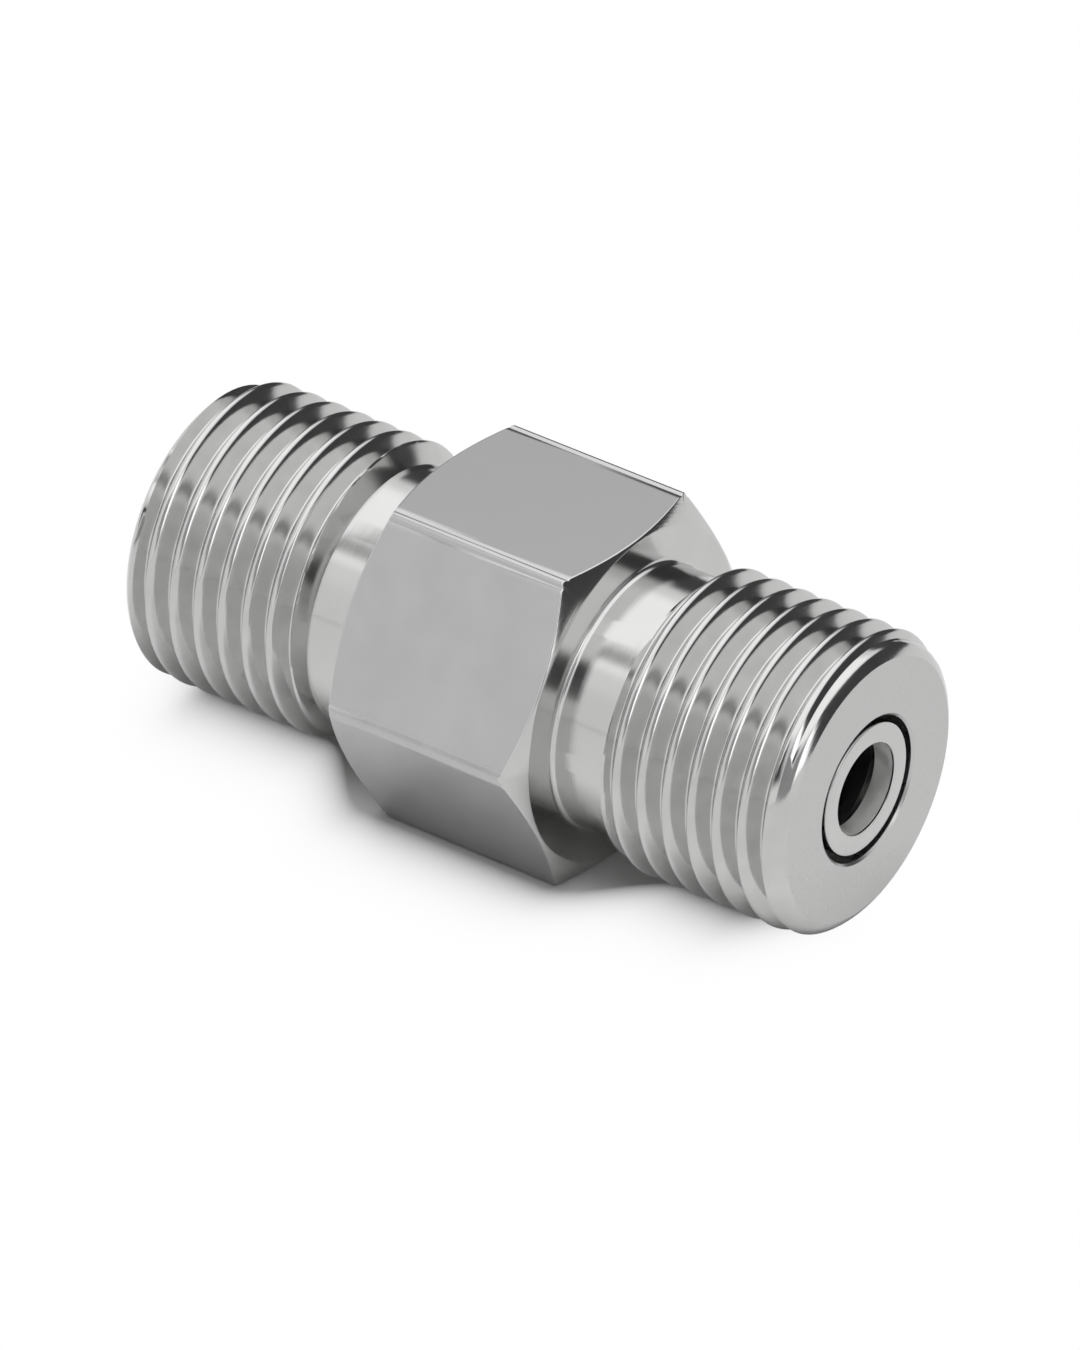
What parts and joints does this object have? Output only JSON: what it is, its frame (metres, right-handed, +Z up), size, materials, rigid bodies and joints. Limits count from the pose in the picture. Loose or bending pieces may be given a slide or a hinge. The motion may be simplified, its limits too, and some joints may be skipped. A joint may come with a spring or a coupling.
{
  "type": "test point coupling",
  "caption": "Hexagon coupling with a male thread and a spring-loaded check valve in each end, for joining hydraulic test hoses.",
  "frame": {"origin": "centre of the hexagon, on the coupling's axis", "axes": "+X along the coupling's axis towards the end that faces the viewer, +Z up with the hexagon lying on one flat"},
  "size_m": [0.0404, 0.0208, 0.018],
  "materials": {
    "body_steel": "bright turned and plated, flats satin",
    "bush_steel": "bright turned",
    "valve_steel": "turned",
    "spring_steel": "drawn wire",
    "seal_rubber": "moulded",
    "backup_plastic": "machined"
  },
  "bodies": {
    "housing": {"body": "body_steel", "right_retainer_bush": "bush_steel", "right_backup_ring": "backup_plastic", "right_pin_seal": "seal_rubber", "right_seat_ring": "valve_steel", "right_seat_seal": "seal_rubber", "right_poppet_spring": "spring_steel", "right_spring_guide": "valve_steel", "left_retainer_bush": "bush_steel", "left_backup_ring": "backup_plastic", "left_pin_seal": "seal_rubber", "left_seat_ring": "valve_steel", "left_seat_seal": "seal_rubber", "left_poppet_spring": "spring_steel", "left_spring_guide": "valve_steel"},
    "right_valve": {"right_poppet": "valve_steel", "right_poppet_seal": "seal_rubber"},
    "left_valve": {"left_poppet": "valve_steel", "left_poppet_seal": "seal_rubber"}
  },
  "joints": [
    {"name": "right_poppet_slide", "type": "slide", "parent": "housing", "child": "right_valve", "axis": [-1, 0, 0], "range_m": [0, 0.0016], "stiffness_N_per_m": 2000, "springref_m": -0.001, "deforming": ["right_poppet_spring"]},
    {"name": "left_poppet_slide", "type": "slide", "parent": "housing", "child": "left_valve", "axis": [1, 0, 0], "range_m": [0, 0.0016], "stiffness_N_per_m": 2000, "springref_m": -0.001, "deforming": ["left_poppet_spring"]}
  ]
}
